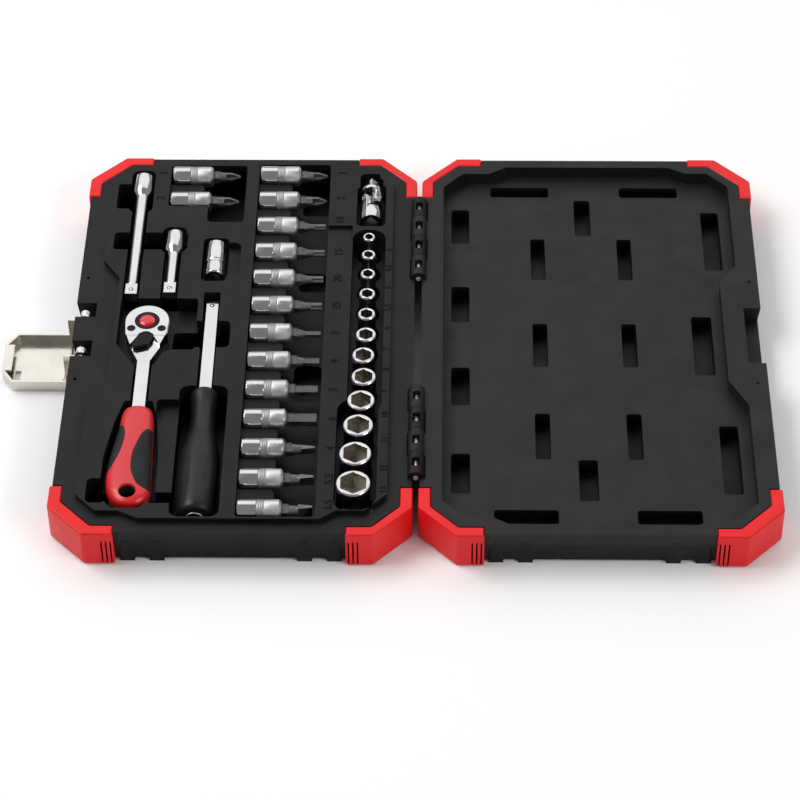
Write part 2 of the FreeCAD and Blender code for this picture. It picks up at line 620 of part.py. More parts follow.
def coupler():
    """A short sleeve: square hole at the back, hexagonal bit seat at the front."""
    body = new_body("coupler_sleeve")
    profile = [("0", "0"), ("4.9", "0"), ("5.5", "0.6"), ("5.5", "9"), ("5.2", "9.4"), ("5.2", "11"),
               ("5.5", "11.4"), ("5.5", "25.4"), ("4.9", "26"), ("0", "26")]
    turned(body, "coupler_profile", profile, "XY_Plane", "V_Axis")
    pocket(body, outline(body, "coupler_hex", hexagon("bit_hex + square_play"), "XZ_Plane"), "10", False)
    pocket(body, outline(body, "coupler_square", square("square_drive + square_play"), "XZ_Plane", "-26"),
           "drive_depth", True)
    body.Label = "coupler"
    place(body, at("base", "112"), "44", "rim_height")
    return body


def yoke(name, ear_axis):
    """A fork about the joint's centre. ear_axis is the direction that its pin lies along."""
    low = ear_axis == "x"
    start, long = ("-16.5", "20") if low else ("-3.5", "13")
    barrel = rod(name + "_barrel", "6.15", long, "0", start, "0", "y")
    slot_y = ("-7.4", "10") if low else ("-10", "7.4")
    if low:
        cuts = [block(name + "_slot", ("-3.2", "3.2"), slot_y, ("-8", "8")),
                block(name + "_above", ("-8", "8"), slot_y, ("ear_half", "8")),
                block(name + "_below", ("-8", "8"), slot_y, ("-8", "-ear_half"))]
    else:
        cuts = [block(name + "_slot", ("-8", "8"), slot_y, ("-3.2", "3.2")),
                block(name + "_left", ("-8", "-ear_half"), slot_y, ("-8", "8")),
                block(name + "_right", ("ear_half", "8"), slot_y, ("-8", "8"))]
    cuts.append(rod(name + "_eye", "1.5 + pin_play", "16", *(("-8", "0", "0") if low else ("0", "0", "-8")),
                    along="x" if low else "z"))
    beyond = block(name + "_beyond", ("-8", "8"), ("0", "6") if low else ("-6", "0"), ("-8", "8"))
    round_end = rod(name + "_round", "ear_half + 0.25", "18", *(("-9", "0", "0") if low else ("0", "0", "-9")),
                    along="x" if low else "z")
    cuts.append(cut(name + "_tips", beyond, round_end))
    half = "square_drive / 2"
    if low:
        hole = f"{half} + square_play / 2"
        cuts.append(block(name + "_hole", (f"-({hole})", hole), ("-17", "-8.8"), (f"-({hole})", hole)))
        return cut(name + "_cut", barrel, join(name + "_cuts", cuts))
    end = block(name + "_end", (f"-{half}", half), ("9", "16.5"), (f"-{half}", half))
    return cut(name + "_cut", join(name + "_solid", [barrel, end]), join(name + "_cuts", cuts))


def universal_joint():
    """Two forks on one cross, turned an eighth about the bar's axis."""
    socket_yoke, square_yoke = yoke("joint_socket_yoke", "x"), yoke("joint_square_yoke", "z")
    core = block("joint_core", ("-2.7", "2.7"), ("-2.7", "2.7"), ("-2.7", "2.7"))
    cross = join("joint_cross", [core, rod("joint_pin_a", "1.5", "12", "-6", "0", "0", "x"),
                                 rod("joint_pin_b", "1.5", "12", "0", "0", "-6", "z")])
    nodes = []
    for node, label in ((socket_yoke, "ujoint_socket_yoke"), (cross, "ujoint_cross"),
                        (square_yoke, "ujoint_square_yoke")):
        node.Placement = FreeCAD.Placement(FreeCAD.Vector(), FreeCAD.Rotation(FreeCAD.Vector(0, 1, 0), 45))
        place(node, at("base", "27"), "106.5", "rim_height")
        node.Label = label
        nodes.append(node)
    return nodes


# ---- ratchet -------------------------------------------------------------------------------------
def ratchet():
    """Head, bar and grip, with the drive gear, release button, lever and pawl in the head."""
    head_x, head_y, lever_y, screw_y = at("base", "145.25"), "4.3", "-8.6", "-1.65"
    head = rod("ratchet_round", "11.7", "11.5", head_x, head_y, "rim_height - 6", "z")
    neck = [(-11.7, 4), (-11.2, -4), (-8.3, -13), (-3.6, -23.5), (3.6, -23.5), (8.3, -13), (11.2, -4), (11.7, 4)]
    shoulder = prism("ratchet_shoulder", [(f"{head_x} + {x}", str(y)) for x, y in neck],
                     "rim_height - 6", "rim_height + 5.5")
    slim = [block("ratchet_slope_" + tag, (f"{head_x} - 13", f"{head_x} + 13"), ("-30", "-15"), z)
            for tag, z in (("top", ("rim_height + 3.2", "rim_height + 8")),
                           ("low", ("rim_height - 8", "rim_height - 3.2")))]
    bar = block("ratchet_bar_stock", (f"{head_x} - 3.3", f"{head_x} + 3.3"), ("-72", "-14"),
                ("rim_height - 3.2", "rim_height + 3.2"), "1")
    solid = join("ratchet_solid", [cut("ratchet_necked", join("ratchet_blank", [head, shoulder]),
                                       join("ratchet_slopes", slim)), bar])
    fan = prism("lever_fan", [(f"{head_x} + {x}", f"{lever_y} + {y}") for x, y in
                              ((0, 4.4), (-3, 3.4), (-8.6, -6.6), (-14, -16), (-14, -40), (14, -40), (14, -16),
                               (8.6, -6.6), (3, 3.4))], "rim_height + 3.1", "rim_height + 8")
    cuts = [rod("gear_room", "7.7", "9", head_x, head_y, "rim_height - 4.5", "z"),
            rod("square_room", "5.6", "6", head_x, head_y, "rim_height - 8", "z"),
            rod("ring_room", "6.7", "4", head_x, head_y, "rim_height + 3", "z"),
            block("cover_room", (f"{head_x} - 14", f"{head_x} + 14"), ("-7.2", "18"),
                  ("rim_height + 3.9", "rim_height + 7")),
            block("pawl_room", (f"{head_x} - 5.5", f"{head_x} + 5.5"), ("-6.5", "-1"),
                  ("rim_height - 3.5", "rim_height + 4.5")),
            rod("lever_room", "4.4", "7", head_x, lever_y, "rim_height - 1", "z"),
            fan]
    cuts += [rod(f"screw_hole_{i}", "1.3", "6", f"{head_x} + {dx}", screw_y, "rim_height - 1", "z")
             for i, dx in enumerate((-8.15, 8.15))]
    body = cut("ratchet_cut", solid, join("ratchet_cuts", cuts))
    body.Label = "ratchet_body"

    rim = rod("cover_round", "11.6", "1.6", head_x, head_y, "rim_height + 3.9", "z")
    wings = prism("cover_wings", [(f"{head_x} + {x}", str(y)) for x, y in
                                  ((-11.6, 3), (-11, -5), (-10.5, -7), (10.5, -7), (11, -5), (11.6, 3))],
                  "rim_height + 3.9", "rim_height + 5.5")
    cover_cuts = [rod("cover_eye", "6.7", "4", head_x, head_y, "rim_height + 3", "z"),
                  rod("cover_lever_eye", "4.6", "4", head_x, lever_y, "rim_height + 3", "z"), fan]
    cover_cuts += [rod(f"cover_screw_{i}", "2.3", "4", f"{head_x} + {dx}", screw_y, "rim_height + 3", "z")
                   for i, dx in enumerate((-8.15, 8.15))]
    cover = cut("cover_cut", join("cover_solid", [rim, wings]), join("cover_cuts", cover_cuts))
    cover.Label = "ratchet_cover"

    screws = []
    for i, dx in enumerate((-8.15, 8.15)):
        shank = rod(f"screw_shank_{i}", "1.25", "4.9", f"{head_x} + {dx}", screw_y, "rim_height - 0.8", "z")
        cap = rod(f"screw_cap_{i}", "2.25", "1.3", f"{head_x} + {dx}", screw_y, "rim_height + 3.9", "z")
        slot = block(f"screw_slot_{i}", (f"{head_x} + {dx} - 0.35", f"{head_x} + {dx} + 0.35"),
                     ("-4.4", "1.2"), ("rim_height + 4.7", "rim_height + 6"))
        screws.append(cut(f"screw_{i}", join(f"screw_solid_{i}", [shank, cap]), slot))
    screw_pair = group("ratchet_screws", screws)

    teeth = []
    for i in range(72):
        angle = 2 * math.pi * i / 72
        radius = 7.35 if i % 2 == 0 else 6.75
        teeth.append((f"{radius * math.cos(angle):.4f}", f"{radius * math.sin(angle):.4f}"))
    gear = new_body("drive_gear")
    pad(gear, outline(gear, "gear_teeth", teeth, offset="-4.2"), "7")
    pad(gear, outline(gear, "gear_ring", ring_points(48, "6.4"), offset="2.8"), "2.6")
    pad(gear, outline(gear, "gear_stub", ring_points(32, "5.3"), offset="-6.6"), "2.4")
    pad(gear, outline(gear, "gear_square", square("square_drive"), offset="-14.4"), "7.8")
    pocket(gear, outline(gear, "button_bore", ring_points(32, "4.7"), offset="5.4"), "5")
    place(gear, head_x, head_y, "rim_height")
    gear.Label = "ratchet_drive"

    button = new_body("button_body")
    dome = [("0", "2.2"), ("4.5", "2.2"), ("4.5", "5.2"), ("4.1", "5.9"), ("3", "6.35"), ("0", "6.6")]
    turned(button, "button_profile", dome, "XZ_Plane", "V_Axis")
    place(button, head_x, head_y, "rim_height")
    button.Label = "ratchet_button"

    hub = rod("lever_hub", "3.9", "1.9", head_x, lever_y, "rim_height + 3.5", "z")
    stem = rod("lever_stem", "1.7", "4.2", head_x, lever_y, "rim_height - 0.5", "z")
    thumb = prism("lever_thumb", [(f"{head_x} + {x}", f"{lever_y} + {y}") for x, y in
                                  ((-2.9, 2), (-6.7, -4.4), (-6.4, -6.6), (-4.6, -7.2), (1.5, -5.2), (3.5, -1.4))],
                  "rim_height + 3.5", "rim_height + 5.7", corner="0.6")
    lever = join("lever_solid", [hub, stem, thumb])
    lever.Label = "ratchet_lever"
    pawl = cut("pawl_cut", block("pawl_block", (f"{head_x} - 4", f"{head_x} + 4"), ("-6.2", "-1.2"),
                                 ("rim_height - 3.2", "rim_height + 2.6"), "1"),
               rod("pawl_hollow", "8.1", "12", head_x, head_y, "rim_height - 5", "z"))
    pawl.Label = "ratchet_pawl"

    side = [(-5.5, -59), (-7.6, -61), (-8.6, -66), (-9.2, -74), (-10.6, -84), (-12.2, -95), (-12.9, -105),
            (-12.7, -114), (-10.6, -121.5), (-6.8, -126.4), (-3.4, -128), (0, -128.4), (3.8, -128), (6.6, -126.7),
            (9, -124), (10.7, -119.5), (10.3, -112), (10, -100), (9.5, -88), (9, -76), (8.5, -66), (7.4, -61),
            (5, -59)]
    grip_solid = prism("grip_solid", [(f"{head_x} + {x}", str(y)) for x, y in side],
                       "rim_height - 6", "rim_height + 6")
    left = [(-8.3, -73), (-6.2, -74.8), (-5.1, -80), (-5.3, -85.3), (-6.8, -93.7), (-8.8, -99.6), (-10.8, -104),
            (-10.6, -92), (-9.6, -82)]
    right = [(8.2, -76.5), (6, -76.6), (3.3, -81), (1.3, -87.7), (-0.3, -94.8), (-0.4, -104.2), (0.9, -110),
             (3.5, -115.8), (6.7, -118.2), (9.6, -119), (9.4, -112), (9, -100), (8.7, -88)]
    inlays, seats = [], []
    for tag, shape in (("left", left), ("right", right)):
        points = [(f"{head_x} + {x}", str(y)) for x, y in shape]
        inlays.append(prism(f"inlay_{tag}", points, "rim_height + 3.4", "rim_height + 6.3", corner="0.8"))
        seats.append(prism(f"inlay_seat_{tag}", points, "rim_height + 3.4", "rim_height + 8", corner="0.8"))
    grip_cuts = seats + [rod("hang_hole", "4", "16", f"{head_x} - 0.9", "-120.9", "rim_height - 8", "z"),
                         block("bar_seat", (f"{head_x} - 3.3", f"{head_x} + 3.3"), ("-72", "-50"),
                               ("rim_height - 3.2", "rim_height + 3.2"), "1")]
    grip = cut("grip_cut", grip_solid, join("grip_cuts", grip_cuts))
    grip.Label = "ratchet_grip"
    inlay_pair = group("ratchet_grip_inlays", inlays)
    return [body, cover, screw_pair, gear, button, lever, pawl, grip, inlay_pair]


# ---- spinner handle ------------------------------------------------------------------------------
def spinner():
    """A screwdriver-style handle with a square-ended shaft."""
    handle = new_body("handle_body")
    profile = [("0", "-131"), ("6.6", "-131"), ("8.6", "-130"), ("9.6", "-127.5"), ("10.1", "-121"),
               ("10.5", "-110"), ("10.6", "-98"), ("10.2", "-89"), ("9.7", "-84.7"), ("8.6", "-78"), ("7.4", "-72"),
               ("6.8", "-67"), ("6.6", "-62"), ("6.7", "-56"), ("7.2", "-50"), ("8", "-45.5"), ("8", "-43.4"),
               ("7.6", "-43"), ("0", "-43")]
    turned(handle, "handle_profile", profile, "XY_Plane", "V_Axis")
    bore = rod("handle_bore", "3.2", "32", "0", "-74", "0", "y")
    rear = rod("handle_rear", "5", "11", "0", "-131.5", "0", "y")
    grip = cut("handle_cut", handle, join("handle_cuts", [bore, rear]))
    grip.Label = "spinner_handle"
    shaft_body = new_body("shaft_body")
    turned(shaft_body, "shaft_profile", [("0", "-74"), ("3.15", "-74"), ("3.15", "-42.5"), ("0", "-42.5")],
           "XY_Plane", "V_Axis")
    pad(shaft_body, outline(shaft_body, "shaft_square", square("square_drive"), "XZ_Plane", "43"), "70", True)
    seat = rod("shaft_seat", "ball_radius + 0.05", "3", "0", "23.5", "square_drive / 2 - 2.2")
    shaft = group("spinner_shaft_pair", [
        cut("shaft_cut", shaft_body, seat),
        ball_at("shaft_ball", "0", "23.5", "square_drive / 2 + ball_proud - ball_radius")])
    shaft.Label = "spinner_shaft"
    half = "square_drive / 2 + square_play / 2"
    insert = cut("insert_cut", rod("insert_rod", "4.95", "10.5", "0", "-131.3", "0", "y"),
                 block("insert_hole", (f"-({half})", half), ("-132", "-122.8"), (f"-({half})", half)))
    insert.Label = "spinner_insert"
    nodes = [grip, shaft, insert]
    for node in nodes:
        place(node, at("base", "111.7"), "0", "rim_height - 4.5")
    return nodes


# ---- build, test and write ---------------------------------------------------------------------------
nodes = base_nodes + lid_nodes + hinge_pins() + latch()
nodes += [socket(*row) for row in SOCKETS]
nodes += bit_sockets()
nodes += extensions() + [coupler()] + universal_joint() + ratchet() + spinner()
doc.recompute()

for thing in doc.Objects:
    if "Invalid" in thing.State or "Error" in thing.State:
        raise RuntimeError(f"{thing.Name} failed: {thing.State}")
labels = [node.Label for node in nodes]
if len(set(labels)) != len(labels):
    raise RuntimeError("two sub-parts share a name")
os.makedirs("parts", exist_ok=True)
for node in nodes:
    if node.Shape.isNull() or not node.Shape.isValid():
        raise RuntimeError(f"{node.Label} has no valid shape")
for node in nodes:
    node.Shape.exportStep(f"parts/{node.Label}.step")
    print(node.Label, len(node.Shape.Solids), round(node.Shape.Volume))
print(len(nodes), "sub-parts")
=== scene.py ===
"""Looks of the socket wrench set.

Materials, moulded and knurled detail, grips, size marks, light and camera. Everything is in metres
in the CAD model's frame: X from the tool tray to the lid, Y along the hinge, Z up.
"""
import json
import math

import bmesh
import bpy
from mathutils import Matrix, Vector


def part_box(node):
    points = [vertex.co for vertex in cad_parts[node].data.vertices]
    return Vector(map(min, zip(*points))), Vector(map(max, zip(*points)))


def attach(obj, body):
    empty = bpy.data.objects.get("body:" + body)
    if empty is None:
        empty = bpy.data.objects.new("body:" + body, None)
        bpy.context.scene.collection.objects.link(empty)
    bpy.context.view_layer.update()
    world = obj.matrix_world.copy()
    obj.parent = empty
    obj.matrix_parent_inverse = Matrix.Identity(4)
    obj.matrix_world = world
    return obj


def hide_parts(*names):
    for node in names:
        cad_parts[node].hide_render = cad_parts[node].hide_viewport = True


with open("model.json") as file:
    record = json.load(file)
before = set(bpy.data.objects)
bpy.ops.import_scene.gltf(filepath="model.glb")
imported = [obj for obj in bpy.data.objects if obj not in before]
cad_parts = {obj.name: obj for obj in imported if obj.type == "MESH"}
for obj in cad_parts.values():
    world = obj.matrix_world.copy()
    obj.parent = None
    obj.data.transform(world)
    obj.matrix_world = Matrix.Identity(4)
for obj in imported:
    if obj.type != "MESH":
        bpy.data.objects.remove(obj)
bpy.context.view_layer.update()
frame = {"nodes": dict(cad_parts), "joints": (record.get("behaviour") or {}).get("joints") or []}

MM = 0.001
JOINTS = {joint["name"]: joint for joint in frame["joints"]}
HINGE = Vector(JOINTS["lid_hinge"]["pos_m"])
RIM = HINGE.z            # height of both halves' rims
TRAY_TOP = RIM + 3 * MM  # top of the raised strip that carries the marks
PROUD = 0.02 * MM        # how far a flush detail stands out, so that it shows


def node(name):
    return frame["nodes"][name]


def middle(name):
    """The middle of a CAD node's box."""
    low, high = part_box(name)
    return (low + high) / 2


# ---- materials ---------------------------------------------------------------------------------
COAT_ROUGHNESS = 0.12
DARKEST_SHADE = 0.12  # share of the colour that the painted shade leaves at the bottom of a well


def start_material(name, color, roughness, metallic=0.0, coat=0.0):
    """A Principled shader with its constant values set on its own sockets."""
    made = bpy.data.materials.new(name)
    made.use_nodes = True
    shader = made.node_tree.nodes["Principled BSDF"]
    shader.inputs["Base Color"].default_value = (*color, 1)
    shader.inputs["Roughness"].default_value = roughness
    shader.inputs["Metallic"].default_value = metallic
    shader.inputs["Coat Weight"].default_value = coat
    shader.inputs["Coat Roughness"].default_value = COAT_ROUGHNESS
    return made, shader


def add_node(made, kind, **inputs):
    """A shader node with values on its inputs; an underscore stands for a space."""
    item = made.node_tree.nodes.new(kind)
    for name, number in inputs.items():
        item.inputs[name.replace("_", " ")].default_value = number
    return item


def wire(made, start, end):
    made.node_tree.links.new(start, end)


def object_space(made):
    return add_node(made, "ShaderNodeTexCoord").outputs["Object"]


def noise(made, scale, detail=3.0, roughness=0.55):
    texture = add_node(made, "ShaderNodeTexNoise", Scale=scale, Detail=detail, Roughness=roughness)
    wire(made, object_space(made), texture.inputs["Vector"])
    return texture.outputs["Fac"]


def spread(made, value, low, high, from_low=0.3, from_high=0.7):
    """Maps a value from one range to another; noise keeps mostly within the default one."""
    ramp = add_node(made, "ShaderNodeMapRange")
    for name, number in (("From Min", from_low), ("From Max", from_high),
                         ("To Min", low), ("To Max", high)):
        ramp.inputs[name].default_value = number
    wire(made, value, ramp.inputs["Value"])
    return ramp.outputs["Result"]


def blend_colors(made, factor, first, second):
    mix = made.node_tree.nodes.new("ShaderNodeMix")
    mix.data_type = "RGBA"
    wire(made, factor, mix.inputs["Factor"])
    for name, source in (("A", first), ("B", second)):
        for item in mix.inputs:
            if item.name == name and item.type == "RGBA":
                item.default_value = (*source, 1)
    return next(o for o in mix.outputs if o.type == "RGBA")


def cloudy(made, color, scale, darker, brighter):
    """A colour that drifts between a darker and a brighter share of itself."""
    return blend_colors(made, spread(made, noise(made, scale), 0, 1),
                        tuple(c * darker for c in color),
                        tuple(min(1.0, c * brighter) for c in color))


def add_bump(made, shader, height, distance):
    bump = add_node(made, "ShaderNodeBump", Strength=1.0, Distance=distance)
    wire(made, height, bump.inputs["Height"])
    wire(made, bump.outputs["Normal"], shader.inputs["Normal"])


def moulded_plastic(name, color, roughness, grain=2600.0, depth=0.00006, sheen=1.15, deep=None,
                    shine=0.3):
    """Moulded polymer: fine spark-eroded grain, cloudy tone and rubbed, glossier patches.

    grain is the scale of the surface grain and depth its height. sheen is how far the tone drifts,
    and shine the specular level. deep gives the heights between which the colour fades nearly to
    black: painted shade for the bottom of a narrow well.
    """
    made, shader = start_material(name, color, roughness)
    shader.inputs["Specular IOR Level"].default_value = shine
    cloud = noise(made, 28.0, 4.0)
    bright = tuple(min(1.0, c * sheen) for c in color)
    dull = tuple(c / sheen for c in color)
    tone = blend_colors(made, spread(made, cloud, 0, 1), dull, bright)
    # painted shade: below a given height the colour darkens nearly to black, for the shade down
    # pockets and slots
    if deep:
        split = add_node(made, "ShaderNodeSeparateXYZ")
        wire(made, object_space(made), split.inputs[0])
        well_shade = spread(made, split.outputs["Z"], DARKEST_SHADE, 1.0, *deep)
        shade = made.node_tree.nodes.new("ShaderNodeVectorMath")
        shade.operation = "SCALE"
        wire(made, tone, shade.inputs[0])
        wire(made, well_shade, shade.inputs["Scale"])
        tone = shade.outputs[0]
    wire(made, tone, shader.inputs["Base Color"])
    rubbed = spread(made, noise(made, 60.0, 5.0), roughness - 0.07, roughness + 0.09)
    wire(made, rubbed, shader.inputs["Roughness"])
    add_bump(made, shader, noise(made, grain, 2.0, 0.6), depth)
    return made


def plated_steel(name, color, roughness, grain=900.0, depth=0.00001):
    """Polished or satin plating with faint smears and a slightly uneven surface."""
    made, shader = start_material(name, color, roughness, metallic=1.0)
    smudge = spread(made, noise(made, 90.0, 6.0, 0.65), roughness * 0.6, roughness * 1.7 + 0.03)
    wire(made, smudge, shader.inputs["Roughness"])
    wire(made, cloudy(made, color, 72.0, 0.94, 1.03), shader.inputs["Base Color"])
    add_bump(made, shader, noise(made, grain, 2.0), depth)
    return made


def glossy_plastic(name, color, roughness, coat):
    """Smooth hard plastic under a clear coat, a little worn."""
    made, shader = start_material(name, color, roughness, coat=coat)
    wire(made, cloudy(made, color, 35.0, 0.86, 1.1), shader.inputs["Base Color"])
    worn = spread(made, noise(made, 160.0, 5.0), roughness - 0.06, roughness + 0.08)
    wire(made, worn, shader.inputs["Roughness"])
    add_bump(made, shader, noise(made, 700.0, 2.0), 0.00002)
    return made


POCKET_SHADE = (RIM - 13 * MM, RIM - 2 * MM)          # heights of the painted shade down the tray's pockets
SLOT_SHADE = (RIM - 10.5 * MM, RIM - 7.7 * MM)  # heights of the painted shade down the slots in the lid's floor
CASE = moulded_plastic("case_plastic", (0.0065, 0.0063, 0.0069), 0.45, deep=POCKET_SHADE, shine=0.2)
LID = moulded_plastic("lid_plastic_with_slot_shade", (0.0115, 0.0110, 0.0120), 0.5, deep=SLOT_SHADE, shine=0.24)
GUARD = moulded_plastic("guard_plastic", (0.74, 0.006, 0.008), 0.36, grain=1500.0, depth=0.00003,
                        sheen=1.06)
CHROME = plated_steel("tool_chrome", (0.60, 0.60, 0.61), 0.12)
SATIN = plated_steel("satin_chrome", (0.66, 0.66, 0.67), 0.3, grain=2500.0, depth=0.00003)
KNURL = plated_steel("knurled_chrome", (0.40, 0.40, 0.41), 0.4, grain=2500.0, depth=0.00005)
PIN_STEEL = plated_steel("bare_steel", (0.9, 0.89, 0.88), 0.5)
NICKEL = plated_steel("latch_nickel", (0.66, 0.63, 0.57), 0.16)
BIT_STEEL = plated_steel("bit_steel", (0.17, 0.165, 0.16), 0.42, grain=3000.0, depth=0.00004)
SOCKET_INSIDE = plated_steel("socket_inside", (0.42, 0.40, 0.36), 0.24)
# Near-black steel: the lever and pawl are black, while on the drive ring round the button and on
# the screws the near-black is painted shade for the shadow that lies there.
BLACK_STEEL_AND_SHADE = plated_steel("dark_steel", (0.022, 0.022, 0.023), 0.36, grain=2200.0,
                          depth=0.00003)
RED_GRIP = glossy_plastic("grip_plastic", (0.60, 0.009, 0.013), 0.33, 0.15)
BUTTON_RED = glossy_plastic("button_plastic", (0.62, 0.005, 0.007), 0.16, 0.45)
INLAY = moulded_plastic("soft_inlay", (0.009, 0.009, 0.010), 0.62, grain=1900.0, depth=0.00008)
HANDLE = moulded_plastic("handle_plastic", (0.0070, 0.0070, 0.0080), 0.36, grain=2100.0,
                         depth=0.00004)
# Near-black: the size marks' own colour, and painted shade where it fills the lid's peg holes.
MARK_AND_HOLE_SHADE = moulded_plastic("size_mark_and_hole_shade", (0.0015, 0.0015, 0.0016), 0.5, shine=0.1)


# ---- mesh helpers ------------------------------------------------------------------------------
WELD_DISTANCE = 0.004 * MM
SHARP_ANGLE = 35  # degrees above which an edge of a CAD node is rounded


def paint(thing, made):
    thing.data.materials.clear()
    thing.data.materials.append(made)


def soften(thing, width, segments=2):
    """Rounds a CAD node's sharp edges without touching its mesh."""
    weld = thing.modifiers.new("weld", "WELD")
    weld.merge_threshold = WELD_DISTANCE
    bevel = thing.modifiers.new("edge", "BEVEL")
    bevel.width = width
    bevel.segments = segments
    bevel.limit_method = "ANGLE"
    bevel.angle_limit = math.radians(SHARP_ANGLE)
    bevel.miter_outer = "MITER_ARC"


def make_object(name, points, faces, made, smooth=True):
    mesh = bpy.data.meshes.new(name)
    mesh.from_pydata([tuple(p) for p in points], [], faces)
    work = bmesh.new()
    work.from_mesh(mesh)
    bmesh.ops.recalc_face_normals(work, faces=work.faces)
    work.to_mesh(mesh)
    work.free()
    for face in mesh.polygons:
        face.use_smooth = smooth
    thing = bpy.data.objects.new(name, mesh)
    bpy.context.scene.collection.objects.link(thing)
    mesh.materials.append(made)
    return thing


def loft(name, rings, made, closed_ends=True):
    """Joins rings of the same number of points into a skin, with a fan over each end."""
    count = len(rings[0])
    points = [p for ring in rings for p in ring]
    faces = []
    for i in range(len(rings) - 1):
        for j in range(count):
            k = (j + 1) % count
            faces.append((i * count + j, i * count + k, (i + 1) * count + k, (i + 1) * count + j))
    if closed_ends:
        for ring, start in ((rings[0], 0), (rings[-1], (len(rings) - 1) * count)):
            points.append(sum((Vector(p) for p in ring), Vector()) / count)
            faces += [(start + j, start + (j + 1) % count, len(points) - 1) for j in range(count)]
    return make_object(name, points, faces, made)


def angles(count):
    """Evenly spaced angles of one full turn."""
    return [2 * math.pi * i / count for i in range(count)]


def catmull_rom(a, b, c, d, share):
    """The point at a share of the curve from b to c."""
    return 0.5 * (2 * b + (c - a) * share + (2 * a - 5 * b + 4 * c - d) * share * share
                  + (3 * b - a - 3 * c + d) * share ** 3)


def smooth_line(knots, steps):
    """Catmull-Rom values through knots of any dimension, with the ends kept."""
    knots = [Vector(k) for k in knots]
    padded = [knots[0] * 2 - knots[1]] + knots + [knots[-1] * 2 - knots[-2]]
    line = []
    for i in range(1, len(padded) - 2):
        line += [catmull_rom(*padded[i - 1:i + 3], step / steps) for step in range(steps)]
    return line + [knots[-1]]


def smooth_loop(knots, steps):
    """The same through knots that close on themselves."""
    knots = [Vector(k) for k in knots]
    count = len(knots)
    line = []
    for i in range(count):
        near = [knots[(i + j - 1) % count] for j in range(4)]
        line += [catmull_rom(*near, step / steps) for step in range(steps)]
    return line


def tube(name, line, radius, made, around=16):
    """A round bar along a line of points."""
    line = [Vector(p) for p in line]
    rings = []
    side = None
    for i, point in enumerate(line):
        ahead = (line[min(i + 1, len(line) - 1)] - line[max(i - 1, 0)]).normalized()
        side = (side or ahead.orthogonal()) - ahead * ahead.dot(side or ahead.orthogonal())
        side.normalize()
        other = ahead.cross(side)
        rings.append([point + radius * (math.cos(angle) * side + math.sin(angle) * other)
                      for angle in angles(around)])
    return loft(name, rings, made)


def apply_modifiers(thing):
    graph = bpy.context.evaluated_depsgraph_get()
    mesh = bpy.data.meshes.new_from_object(thing.evaluated_get(graph))
    thing.modifiers.clear()
    thing.data = mesh


def carve(thing, tool, operation="DIFFERENCE"):
    """Cuts a tool solid out of a piece, or keeps only what they share."""
    boolean = thing.modifiers.new("carve", "BOOLEAN")
    boolean.operation = operation
    boolean.solver = "EXACT"
    boolean.object = tool
    apply_modifiers(thing)


def drop(thing):
    bpy.data.objects.remove(thing)


def ring_around(axis, center, radius, count):
    """A circle of points about the y or the z axis."""
    found = []
    for angle in angles(count):
        c, s = radius * math.cos(angle), radius * math.sin(angle)
        found.append(Vector(center) + Vector({"y": (c, 0, s), "z": (c, s, 0)}[axis]))
    return found


# ---- CAD nodes: materials and softened edges ---------------------------------------------------
def dress_case():
    paint(node("base_shell"), CASE)
    paint(node("lid_shell"), LID)
    for side in ("base", "lid"):
        soften(node(f"{side}_shell"), 0.55 * MM, 3)
        for place in ("outer_rear", "outer_front", "inner_rear", "inner_front"):
            guard = node(f"{side}_guard_{place}")
            paint(guard, GUARD)
            soften(guard, 1.2 * MM, 4)
    for name in ("hinge_pin_rear", "hinge_pin_front"):
        paint(node(name), PIN_STEEL)
        soften(node(name), 0.2 * MM)
    for name in ("latch_plate", "latch_pin"):
        paint(node(name), NICKEL)
        soften(node(name), 0.35 * MM, 3)


CHROMED = ("coupler", "ujoint_socket_yoke", "ujoint_square_yoke", "extension_long",
           "extension_short", "spinner_shaft")
# node, material and width of the rounded edges in millimetres
FITTINGS = (("ujoint_cross", SATIN, 0.2), ("ratchet_body", CHROME, 0.9),
            ("ratchet_cover", CHROME, 0.25), ("ratchet_screws", BLACK_STEEL_AND_SHADE, 0.12),
            ("ratchet_drive", BLACK_STEEL_AND_SHADE, 0.1), ("ratchet_lever", BLACK_STEEL_AND_SHADE, 0.4),
            ("ratchet_pawl", BLACK_STEEL_AND_SHADE, 0.2), ("ratchet_button", BUTTON_RED, 0.2),
            ("spinner_insert", CHROME, 0.2))


def dress_tools():
    for name, thing in frame["nodes"].items():
        if name.startswith("socket_") or name in CHROMED:
            paint(thing, CHROME)
            soften(thing, 0.16 * MM)
        if name.startswith("socket_"):
            darken_inside(name, thing)
    for name, made, width in FITTINGS:
        paint(node(name), made)
        soften(node(name), width * MM, 3)


def darken_inside(name, thing):
    """The hexagon's walls and floor carry the duller plating of a broached hole."""
    thing.data.materials.append(SOCKET_INSIDE)
    axis = middle(name)
    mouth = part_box(name)[1].z - 3 * MM
    for face in thing.data.polygons:
        outward = Vector((face.center.x - axis.x, face.center.y - axis.y, 0))
        inside = face.normal.dot(outward) < 0 and abs(face.normal.z) < 0.5
        floor = face.normal.z > 0.9 and face.center.z < mouth
        face.material_index = 1 if inside or floor else 0


# A bit socket's parts, measured from its tail, and its knurled band.
HOLDER_LONG = 22.5 * MM
SLACK = 0.05 * MM
NOSE_START = 12 * MM
KNURL_START, KNURL_END = 9.9 * MM, 13.95 * MM
KNURL_RADIUS, KNURL_DEPTH = 5.76 * MM, 0.12 * MM
KNURL_AROUND, KNURL_ROWS = 84, 15
KNURL_DIAMONDS, KNURL_TWIST = 21, 0.9


